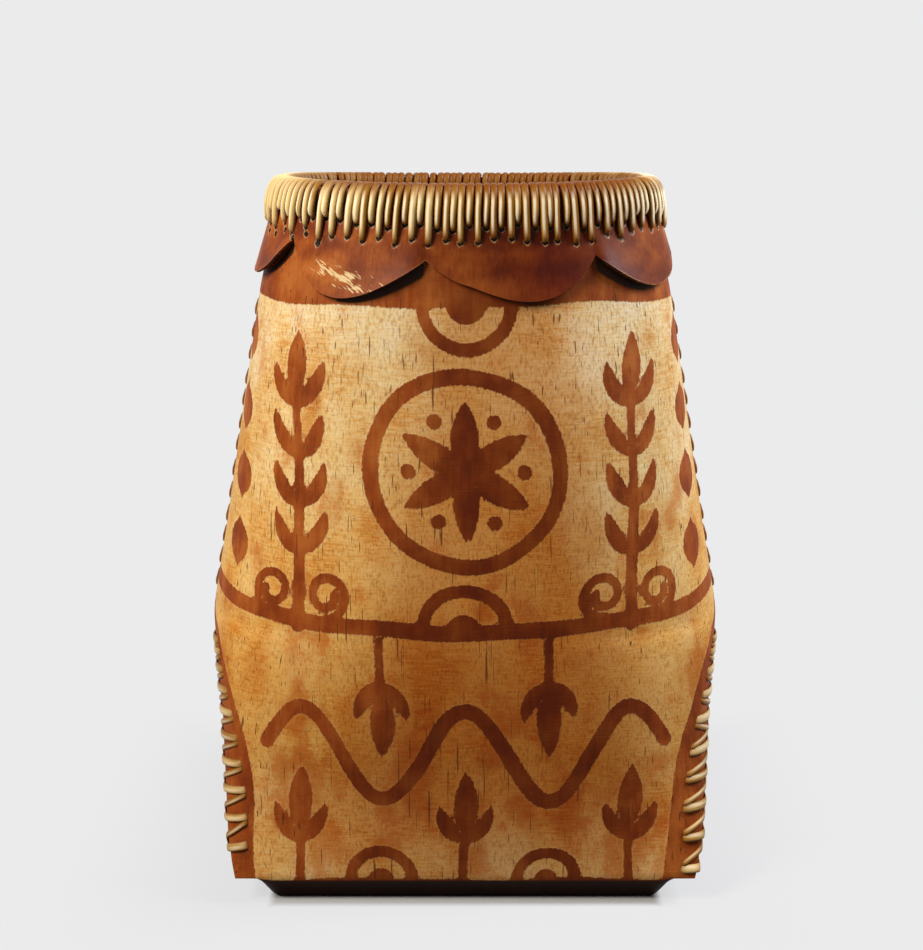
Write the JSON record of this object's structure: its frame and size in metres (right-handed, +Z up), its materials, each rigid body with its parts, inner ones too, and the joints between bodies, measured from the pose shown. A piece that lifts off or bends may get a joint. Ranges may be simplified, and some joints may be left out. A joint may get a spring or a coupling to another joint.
{
  "type": "birch bark basket",
  "caption": "Tall open birch bark basket: folded bark body with laced end gores, scalloped bark collar and a rim of bent hoops lashed with split root, for storing and carrying dry food.",
  "frame": {"origin": "centre of the base, on the surface that the basket stands on", "axes": "+Z up through the mouth, -Y towards the front, +X to the right seen from the front"},
  "size_m": [0.2922, 0.1896, 0.3998],
  "materials": {
    "birch_bark": "winter bark, inner side out, scraped to pale fields with dark red-brown ornament",
    "collar_bark": "unscraped dark red-brown inner bark with a raw cut edge",
    "hoop_wood": "split and shaved wood, bare and darkened with age",
    "split_root": "split conifer root, peeled and polished by use"
  },
  "bodies": {
    "root": {"bark_body": "birch_bark", "gore_left": "birch_bark", "gore_right": "birch_bark", "collar_front": "collar_bark", "collar_back": "collar_bark", "rim_hoop_outer": "hoop_wood", "rim_hoop_inner": "hoop_wood", "rim_root_1": "split_root", "rim_root_2": "split_root", "rim_root_3": "split_root", "rim_root_4": "split_root", "rim_root_5": "split_root", "seam_root_left": "split_root", "seam_root_right": "split_root", "corner_root_front_left": "split_root", "corner_root_front_right": "split_root", "corner_root_back_left": "split_root", "corner_root_back_right": "split_root"}
  },
  "joints": []
}
